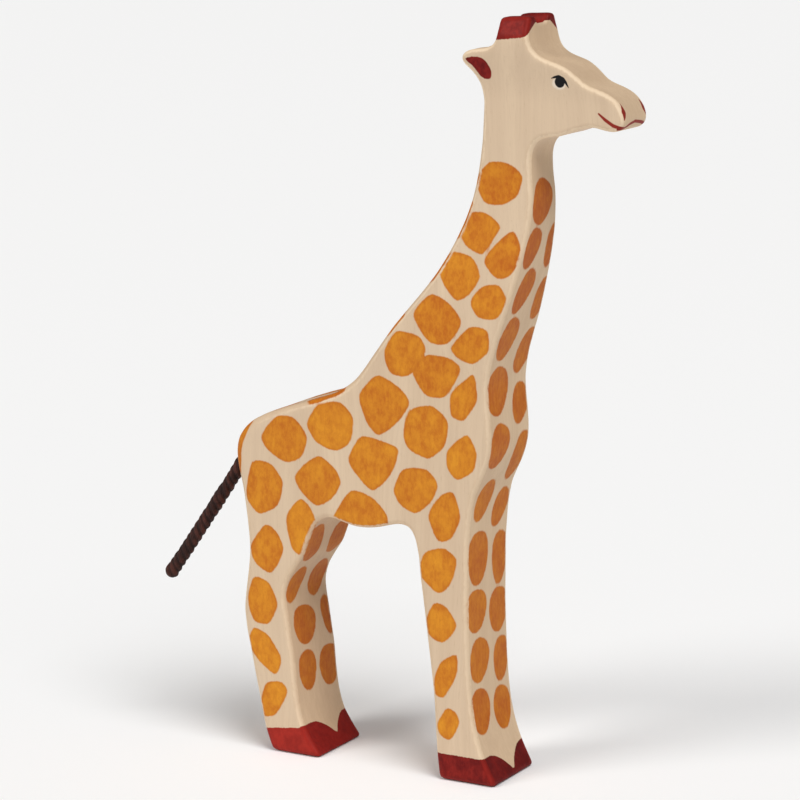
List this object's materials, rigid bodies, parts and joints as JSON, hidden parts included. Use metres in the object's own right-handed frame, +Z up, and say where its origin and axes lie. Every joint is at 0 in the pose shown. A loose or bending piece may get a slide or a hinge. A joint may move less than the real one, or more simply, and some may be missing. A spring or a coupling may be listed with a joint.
{
  "type": "wooden giraffe figure",
  "caption": "Standing giraffe figure sawn from a wooden board, stained with orange-brown spots and red hooves and horns, with a stiff twisted cord tail glued into its rump.",
  "frame": {"origin": "on the ground, under the middle of the wooden body's length and thickness", "axes": "+X towards the nose, +Y towards the figure's left side, through the thickness of the board, +Z up"},
  "size_m": [0.1516, 0.025, 0.215],
  "materials": {
    "maple_wood": "sanded pale wood with vertical grain, thin satin varnish, stained spots, hooves and horns",
    "twisted_cord": "stiff dark brown twisted cord, waxed",
    "set_glue": "dried wood glue, slightly yellow"
  },
  "bodies": {
    "root": {"body": "maple_wood", "tail_cord": "twisted_cord", "tail_glue": "set_glue"}
  },
  "joints": []
}
